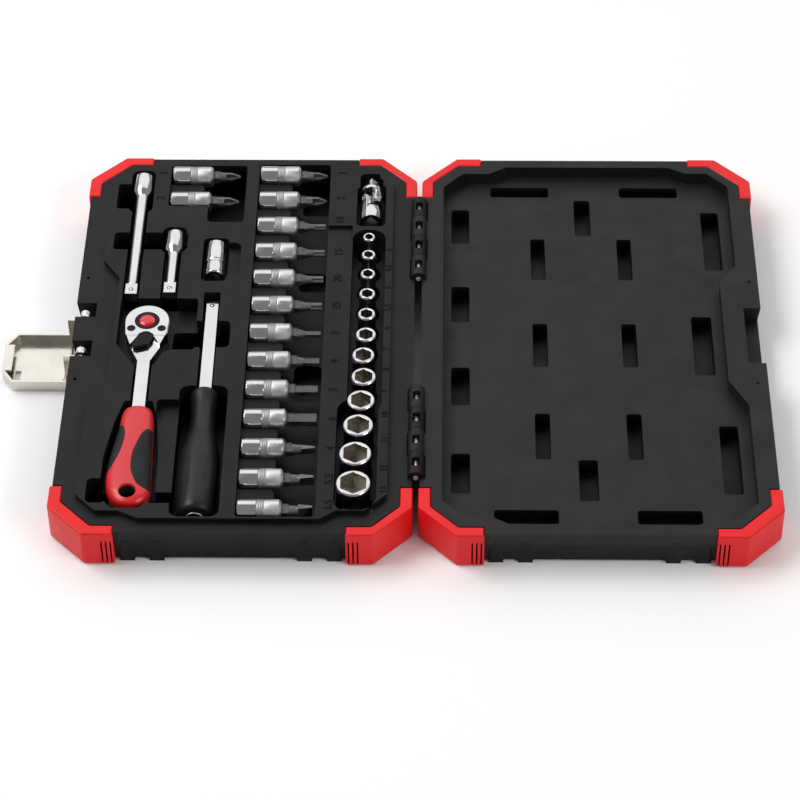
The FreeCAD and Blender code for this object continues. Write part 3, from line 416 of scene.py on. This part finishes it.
def dress_bit_sockets():
    """Chromed tail, satin nose with a knurled waist, and the dark bit that lies past the nose."""
    for name, thing in frame["nodes"].items():
        if not name.startswith("bit_socket_"):
            continue
        paint(thing, CHROME)
        thing.data.materials.append(BIT_STEEL)
        thing.data.materials.append(SATIN)
        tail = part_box(name)[0].x
        for face in thing.data.polygons:
            reach = max(thing.data.vertices[i].co.x for i in face.vertices)
            past = reach > tail + HOLDER_LONG + SLACK
            nose = face.center.x > tail + NOSE_START
            face.material_index = 1 if past else 2 if nose else 0
        soften(thing, 0.14 * MM)
        knurl_band(name, tail)


def knurl_band(name, tail):
    """A diamond-knurled sleeve that fills the holder's waist."""
    low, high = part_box(name)
    axis_y, axis_z = (low.y + high.y) / 2, (low.z + high.z) / 2
    start, end = tail + KNURL_START, tail + KNURL_END
    last = KNURL_ROWS - 1
    rings = []
    for row in range(KNURL_ROWS):
        x = start + (end - start) * row / last
        ring = []
        for angle in angles(KNURL_AROUND):
            along, twist = KNURL_DIAMONDS * angle, row * KNURL_TWIST
            diamond = math.cos(along + twist) * math.cos(along - twist)
            r = KNURL_RADIUS + (KNURL_DEPTH * diamond if 0 < row < last else -0.2 * MM)
            ring.append((x, axis_y + r * math.cos(angle), axis_z + r * math.sin(angle)))
        rings.append(ring)
    band = loft(name + "_knurl", rings, KNURL)
    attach(band, name)


# ---- grips -------------------------------------------------------------------------------------
SECTION_POINTS = 64
SECTION_POWER = 2.6  # 2 would be an ellipse


def rounded_section(center, half_wide, half_tall):
    """A superellipse across Y, flatter than an ellipse on its faces."""
    ring = []
    for angle in angles(SECTION_POINTS):
        c, s = math.cos(angle), math.sin(angle)
        x = math.copysign(abs(c) ** (2 / SECTION_POWER), c) * half_wide
        z = math.copysign(abs(s) ** (2 / SECTION_POWER), s) * half_tall
        ring.append(Vector(center) + Vector((x, 0, z)))
    return ring


# The grip, in millimetres, with x from the ratchet head's middle.
# y, left edge, right edge and half thickness, from the neck to the rounded end
GRIP_STATIONS = [(-59, -5.2, 4.8, 4.2), (-60.2, -6.9, 6.6, 4.9), (-62, -7.9, 7.7, 5.3),
                 (-66, -8.6, 8.5, 5.7), (-74, -9.2, 8.9, 5.8), (-84, -10.6, 9.3, 5.85),
                 (-95, -12.2, 9.8, 5.9), (-105, -12.9, 10.1, 5.95), (-112, -12.8, 10.3, 5.95),
                 (-118, -11.9, 10.6, 5.9), (-121.5, -10.6, 10.1, 5.7), (-124, -9.0, 9.0, 5.4),
                 (-126.2, -7.0, 7.1, 4.7), (-127.6, -4.6, 4.9, 3.8), (-128.4, -1.2, 1.6, 1.9)]
# outlines of the soft inlays; what lies beyond the grip's edge is cut away
GRIP_INLAYS = {
    "left": [(-16, -71), (-8.3, -73), (-6.2, -74.8), (-5.1, -80), (-5.3, -85.3), (-6.8, -93.7),
             (-8.8, -99.6), (-11.4, -105), (-16, -108)],
    "right": [(8.2, -76.5), (6, -76.6), (3.3, -81), (1.3, -87.7), (-0.3, -94.8), (-0.4, -104.2),
              (0.9, -110), (3.5, -115.8), (6.7, -118.2), (9.6, -119), (16, -118), (16, -100),
              (16, -78)]}
GRIP_GROOVE = ((-8.4, -69.5), (-6.1, -66.9), (-4, -63.5), (-0.7, -61.7), (2.4, -62.9), (5.4, -68),
               (8.2, -71))
# height above the grip's middle and radius, down the hang hole with its flared mouths
GRIP_HOLE = ((-9, 6.5), (-4.9, 4.25), (-4.2, 4.0), (4.2, 4.0), (4.9, 4.25), (9, 6.5))
HOLE_X, HOLE_Y, HOLE_DARK_REACH = -0.9, -120.9, 4.3
INLAY_FLOOR = 1.6 * MM  # above the grip's middle, like the groove's height
GROOVE_HEIGHT, GROOVE_RADIUS = 5.9 * MM, 0.55 * MM


def ratchet_grip():
    """The red grip with its two soft inlays and hang hole."""
    low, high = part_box("ratchet_grip")
    head_x = middle("ratchet_cover").x
    axis_z = (low.z + high.z) / 2
    rings = []
    for y, left, right, half in smooth_line(GRIP_STATIONS, 6):
        center = (head_x + (left + right) / 2 * MM, y * MM, axis_z)
        rings.append(rounded_section(center, (right - left) / 2 * MM, half * MM))
    grip = loft("grip_red", rings, RED_GRIP)
    for side, knots in GRIP_INLAYS.items():
        loop = smooth_loop(knots, 6)
        rings = [[(head_x + p.x * MM, p.y * MM, z) for p in loop]
                 for z in (axis_z + INLAY_FLOOR, high.z + 2 * MM)]
        tool = loft("inlay_tool", rings, INLAY)
        inlay = grip.copy()
        inlay.data = grip.data.copy()
        inlay.name = f"grip_inlay_{side}"
        bpy.context.scene.collection.objects.link(inlay)
        paint(inlay, INLAY)
        carve(grip, tool)
        carve(inlay, tool, "INTERSECT")
        drop(tool)
        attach(inlay, "ratchet")
    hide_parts("ratchet_grip_inlays")
    groove = [(head_x + x * MM, y * MM, axis_z + GROOVE_HEIGHT) for x, y in GRIP_GROOVE]
    tool = tube("groove_tool", smooth_line(groove, 5), GROOVE_RADIUS, RED_GRIP)
    carve(grip, tool)
    drop(tool)
    hole_at = Vector((head_x + HOLE_X * MM, HOLE_Y * MM, axis_z))
    rings = [ring_around("z", hole_at + Vector((0, 0, z * MM)), r * MM, 48) for z, r in GRIP_HOLE]
    tool = loft("hole_tool", rings, RED_GRIP)
    carve(grip, tool)
    drop(tool)
    # The hang hole's wall, out to a set distance from its axis, takes the dark inlay colour.
    grip.data.materials.append(INLAY)
    for face in grip.data.polygons:
        from_axis = Vector((face.center.x - hole_at.x, face.center.y - hole_at.y))
        if from_axis.length < HOLE_DARK_REACH * MM:
            face.material_index = len(grip.data.materials) - 1
    finish_shading(grip)
    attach(grip, "ratchet")
    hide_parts("ratchet_grip")


def finish_shading(thing, angle=38):
    """Smooth faces, with edges sharper than the angle kept crisp."""
    work = bmesh.new()
    work.from_mesh(thing.data)
    bmesh.ops.remove_doubles(work, verts=work.verts, dist=0.001 * MM)
    for edge in work.edges:
        if len(edge.link_faces) == 2:
            edge.smooth = edge.calc_face_angle(0) < math.radians(angle)
    for face in work.faces:
        face.smooth = True
    work.to_mesh(thing.data)
    work.free()


# y and radius, in millimetres, from the handle's open end to its neck
HANDLE_PROFILE = [(-131, 5.1), (-130.9, 6.6), (-130.2, 8.2), (-128.6, 9.3), (-125, 9.9),
                  (-118, 10.25), (-108, 10.5), (-97, 10.55), (-90, 10.2), (-84.7, 9.7), (-78, 8.55),
                  (-72.5, 7.5), (-66, 6.75), (-60, 6.55), (-54, 6.75), (-49, 7.3), (-45.5, 7.9),
                  (-44, 7.8), (-43.2, 7.2), (-43, 5.6)]
HANDLE_AROUND = 96
FLUTES, FLUTE_DEPTH = 6, 0.2
INSERT_BORE = ((-122, 5.02), (-131, 5.02))
SHAFT_BORE = ((-43, 3.2), (-60, 3.2))


def clamp(value):
    return max(0.0, min(1.0, value))


def spinner_handle():
    """The driver handle, turned from a smooth profile, with shallow finger flutes."""
    low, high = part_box("spinner_handle")
    axis_x, axis_z = (low.x + high.x) / 2, (low.z + high.z) / 2
    rings = []
    for y, radius in smooth_line(HANDLE_PROFILE, 6):
        flute = FLUTE_DEPTH * clamp((y + 124) / 10) * clamp((-92 - y) / 8)
        ring = []
        for angle in angles(HANDLE_AROUND):
            r = (radius - flute * max(0.0, math.cos(FLUTES * angle)) ** 2) * MM
            ring.append((axis_x + r * math.cos(angle), y * MM, axis_z + r * math.sin(angle)))
        rings.append(ring)
    inner, closing = ([ring_around("y", (axis_x, y * MM, axis_z), r * MM, HANDLE_AROUND)
                       for y, r in bore] for bore in (INSERT_BORE, SHAFT_BORE))
    handle = loft("handle_grip", inner + rings + closing, HANDLE)
    finish_shading(handle, 50)
    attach(handle, "spinner")
    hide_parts("spinner_handle")


RIM_BEAD = 0.38 * MM


def insert_rim():
    """The bright rolled edge of the steel insert in the driver handle's end."""
    low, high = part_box("spinner_insert")
    center = Vector(((low.x + high.x) / 2, low.y + 0.1 * MM, (low.z + high.z) / 2))
    radius = (high.x - low.x) / 2 - 0.4 * MM
    rings = []
    for turn in angles(64):
        outward = Vector((math.cos(turn), 0, math.sin(turn)))
        rings.append([center + outward * (radius + RIM_BEAD * math.cos(angle))
                      - Vector((0, RIM_BEAD * math.sin(angle), 0)) for angle in angles(12)])
    rings.append(rings[0])
    rim = loft("insert_rim", rings, PIN_STEEL, closed_ends=False)
    finish_shading(rim)
    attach(rim, "spinner")


# ---- latch springs and guard ridges ------------------------------------------------------------
COIL_TURNS, COIL_STEPS = 4, 14
COIL_RADIUS, COIL_WIRE = 2.3 * MM, 0.42 * MM


def coil(name, start, end, center_x, center_z):
    """A close-wound spring about the latch's pin, between two places along it in millimetres."""
    count = COIL_TURNS * COIL_STEPS
    line = []
    for i in range(count + 1):
        angle = 2 * math.pi * i / COIL_STEPS
        line.append((center_x + COIL_RADIUS * math.cos(angle),
                     (start + (end - start) * i / count) * MM,
                     center_z + COIL_RADIUS * math.sin(angle)))
    spring = tube(name, line, COIL_WIRE, PIN_STEEL, 10)
    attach(spring, "base")


def latch_springs():
    pin = middle("latch_pin")
    coil("latch_spring_front", -11.1, -7.6, pin.x, pin.z)
    coil("latch_spring_rear", 17.5, 21.0, pin.x, pin.z)


RIDGE_FIRST, RIDGE_PITCH = 1.5, 2.3  # millimetres from the guard's free end
RIDGE_FOOT, RIDGE_CREST = 0.75 * MM, 0.4 * MM  # half widths
RIDGE_ROOT = 0.8 * MM  # how deep a ridge starts inside the wall
RIDGE_BOTTOM, RIDGE_TOP = 0.4 * MM, 5.5 * MM  # above the guard's foot and below the rim
# share of the ridge's height, and how far it stands out there in millimetres
RIDGE_PROFILE = ((0, 0.0), (0.06, 0.6), (0.5, 0.6), (0.9, 0.45), (1, 0.0))


def guard_ridges():
    """Three upright ridges beside the free end of each guard on the front and back walls."""
    for name, guard in frame["nodes"].items():
        if "_guard_" not in name:
            continue
        side, _, end, place = name.split("_")
        sign = 1 if place == "rear" else -1
        low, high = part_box(name)
        inward = 1 if (side == "base") == (end == "outer") else -1
        edge = high.x if inward > 0 else low.x
        face = (high.y if sign > 0 else low.y) * sign
        foot = max(v.co.y * sign for v in guard.data.vertices if v.co.z < low.z + 0.5 * MM)
        bottom, top = low.z + RIDGE_BOTTOM, RIM - RIDGE_TOP
        for number in range(3):
            x = edge - inward * (RIDGE_FIRST + RIDGE_PITCH * number) * MM
            rings = []
            for share, rise in RIDGE_PROFILE:
                z = bottom + (top - bottom) * share
                wall = foot + (face - foot) * min(1, (z - low.z) / (RIM - low.z))
                outer, root = min(wall + rise * MM, face), wall - RIDGE_ROOT
                rings.append([(x - RIDGE_FOOT, sign * root, z), (x - RIDGE_CREST, sign * outer, z),
                              (x + RIDGE_CREST, sign * outer, z), (x + RIDGE_FOOT, sign * root, z)])
            ridge = loft(f"{name}_ridge_{number}", rings, GUARD)
            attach(ridge, side)


# in millimetres: feet out from the hinge; height, reach and half width of a swelling; the wall
FOOT_OUT = (41, 56, 131, 146)
FOOT_PROFILE = ((0.15, 142.6, 4.0), (1.2, 143.1, 4.5), (4, 143.4, 4.6), (9, 143.6, 4.3),
                (14, 143.6, 3.6), (17, 143.4, 2.6))
WALL_FOOT, WALL_START, WALL_SLOPE = 141.6, 1.5, 0.114
FOOT_ROOT = 0.6


def foot_swells():
    """Rounded swellings where the foot ribs run out into the front and back walls."""
    for side, sign in (("base", -1), ("lid", 1)):
        for number, out in enumerate(FOOT_OUT):
            for end in (-1, 1):
                rings = []
                for z, reach, half in FOOT_PROFILE:
                    wall = WALL_FOOT + max(0, z - WALL_START) * WALL_SLOPE
                    bulge = reach - wall + FOOT_ROOT
                    rings.append([(HINGE.x + sign * out * MM + half * MM * math.cos(a),
                                   end * (wall - FOOT_ROOT + bulge * math.sin(a)) * MM, z * MM)
                                  for a in (math.pi * j / 16 for j in range(17))])
                place = "rear" if end > 0 else "front"
                swell = loft(f"{side}_foot_swell_{number}_{place}", rings,
                             CASE if side == "base" else LID)
                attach(swell, side)


PEG_PLACES = ((180.6, 43.0), (179.6, -35.7))  # out from the hinge and y, in millimetres
PEG_RADIUS = 0.95 * MM


def peg_holes():
    """The lid's two blind peg holes, shown as dark plugs flush with the rim; their near-black is
    painted shade for the holes' depths.
    """
    for number, (out, y) in enumerate(PEG_PLACES):
        place = Vector((HINGE.x + out * MM, y * MM, RIM))
        rings = [ring_around("z", place + Vector((0, 0, z * MM)), PEG_RADIUS, 24)
                 for z in (-1.0, 0.03)]
        plug = loft(f"lid_peg_hole_{number}", rings, MARK_AND_HOLE_SHADE)
        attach(plug, "lid")


# ---- size marks --------------------------------------------------------------------------------
SOCKET_MARK, BIT_MARK = 4.6 * MM, 6.0 * MM  # heights of the figures
# distances of the rows of marks from the hinge
SOCKET_ROW, RIGHT_ROW, LEFT_ROW = 16.3 * MM, 44 * MM, 145.6 * MM
MARK_RELIEF = 0.12 * MM
RIGHT_SIZES = ("1", "2", "10", "15", "20", "25", "3", "4", "5", "6", "4", "5.5", "6.5")
RIGHT_KINDS = ("cross",) * 2 + ("star",) * 4 + ("hex",) * 4 + ("slot",) * 3


def mark(name, words, place, size):
    """Numbers in low relief, read along the row."""
    curve = bpy.data.curves.new(name, "FONT")
    curve.body = words
    curve.size = size
    curve.offset = MARK_RELIEF
    curve.extrude = MARK_RELIEF
    curve.align_x = "CENTER"
    curve.align_y = "CENTER"
    text = bpy.data.objects.new(name, curve)
    bpy.context.scene.collection.objects.link(text)
    text.location = place
    text.rotation_euler = (0, 0, math.pi / 2)
    bpy.context.view_layer.update()
    graph = bpy.context.evaluated_depsgraph_get()
    mesh = bpy.data.meshes.new_from_object(text.evaluated_get(graph))
    mesh.transform(text.matrix_world)
    drop(text)
    solid = bpy.data.objects.new(name, mesh)
    bpy.context.scene.collection.objects.link(solid)
    paint(solid, MARK_AND_HOLE_SHADE)
    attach(solid, "base")


def size_marks():
    """A size beside each socket and each bit socket, kept on the tray."""
    for name in sorted(frame["nodes"]):
        if name.startswith("socket_"):
            words = name[len("socket_"):-2].replace("_", ".")
            y = max(middle(name).y - 7.5 * MM, -117 * MM)
            mark("mark_" + name, words, (HINGE.x - SOCKET_ROW, y, TRAY_TOP + PROUD), SOCKET_MARK)
    for number, (words, kind) in enumerate(zip(RIGHT_SIZES, RIGHT_KINDS), 1):
        name = f"bit_socket_right_{number}_{kind}"
        y = max(middle(name).y, -126 * MM)
        if y > 80 * MM:
            place = (HINGE.x - RIGHT_ROW, max(y, 89 * MM), RIM + 3.02 * MM)
        else:
            place = (HINGE.x - RIGHT_ROW, y, RIM + 1.02 * MM)
        mark("mark_" + name, words, place, BIT_MARK)
    for number in (1, 2):
        name = f"bit_socket_left_{number}_cross"
        place = (HINGE.x - LEFT_ROW, middle(name).y, TRAY_TOP + PROUD)
        mark("mark_" + name, str(number), place, BIT_MARK)


# ---- stage, light and camera -------------------------------------------------------------------
FLOOR_HALF = 4.0
WORLD_STRENGTH = 0.27
# place, size and power of each area light; all of them look at the origin
LIGHTS = {"top": ((0, 1.9, 1.9), (4.2, 2.4), 34),
          "key": ((-1.3, 0.2, 1.7), (1.5, 1.1), 30),
          "fill": ((1.3, -0.9, 1.2), (0.9, 0.4), 11)}


def stage():
    white, _ = start_material("floor_white", (0.92, 0.92, 0.92), 0.9)
    corners = [(x * FLOOR_HALF, y * FLOOR_HALF, 0) for x, y in ((-1, -1), (1, -1), (1, 1), (-1, 1))]
    floor = make_object("floor", corners, [(0, 1, 2, 3)], white, smooth=False)
    floor.location.z = -0.05 * MM


def area_light(name, place, size, power):
    light = bpy.data.lights.new(name, "AREA")
    light.shape = "RECTANGLE"
    light.size, light.size_y = size
    light.energy = power
    lamp = bpy.data.objects.new(name, light)
    lamp.location = place
    lamp.rotation_euler = (-Vector(place)).to_track_quat("-Z", "Y").to_euler()
    bpy.context.scene.collection.objects.link(lamp)


def lighting():
    world = bpy.data.worlds.new("studio")
    world.use_nodes = True
    background = world.node_tree.nodes["Background"]
    background.inputs["Color"].default_value = (1, 1, 1, 1)
    background.inputs["Strength"].default_value = WORLD_STRENGTH
    bpy.context.scene.world = world
    bpy.context.scene.view_settings.view_transform = "Standard"
    for name, (place, size, power) in LIGHTS.items():
        area_light(name, place, size, power)


CAMERA_LENS = 130.32
CAMERA_PLACE = (14.8 * MM, -1123.4 * MM, 1074.5 * MM)  # from the hinge joint's place
CAMERA_PITCH, CAMERA_YAW, CAMERA_ROLL = 45.014, -1.2565, -0.6186


def camera():
    data = bpy.data.cameras.new("camera")
    data.lens = CAMERA_LENS
    data.sensor_width = 36
    data.clip_end = 20
    pitch, yaw, roll = (math.radians(a) for a in (CAMERA_PITCH, CAMERA_YAW, CAMERA_ROLL))
    forward = Vector((math.sin(yaw) * math.cos(pitch), math.cos(yaw) * math.cos(pitch),
                      -math.sin(pitch)))
    level = Vector((math.cos(yaw), -math.sin(yaw), 0))
    up = level.cross(forward)
    right = math.cos(roll) * level + math.sin(roll) * up
    top = -math.sin(roll) * level + math.cos(roll) * up
    turn = Matrix((right, top, -forward)).transposed()
    thing = bpy.data.objects.new("camera", data)
    thing.matrix_world = Matrix.Translation(HINGE + Vector(CAMERA_PLACE)) @ turn.to_4x4()
    bpy.context.scene.collection.objects.link(thing)
    bpy.context.scene.camera = thing


camera()
lighting()
stage()
dress_case()
dress_tools()
dress_bit_sockets()
ratchet_grip()
spinner_handle()
insert_rim()
latch_springs()
guard_ridges()
foot_swells()
peg_holes()
size_marks()
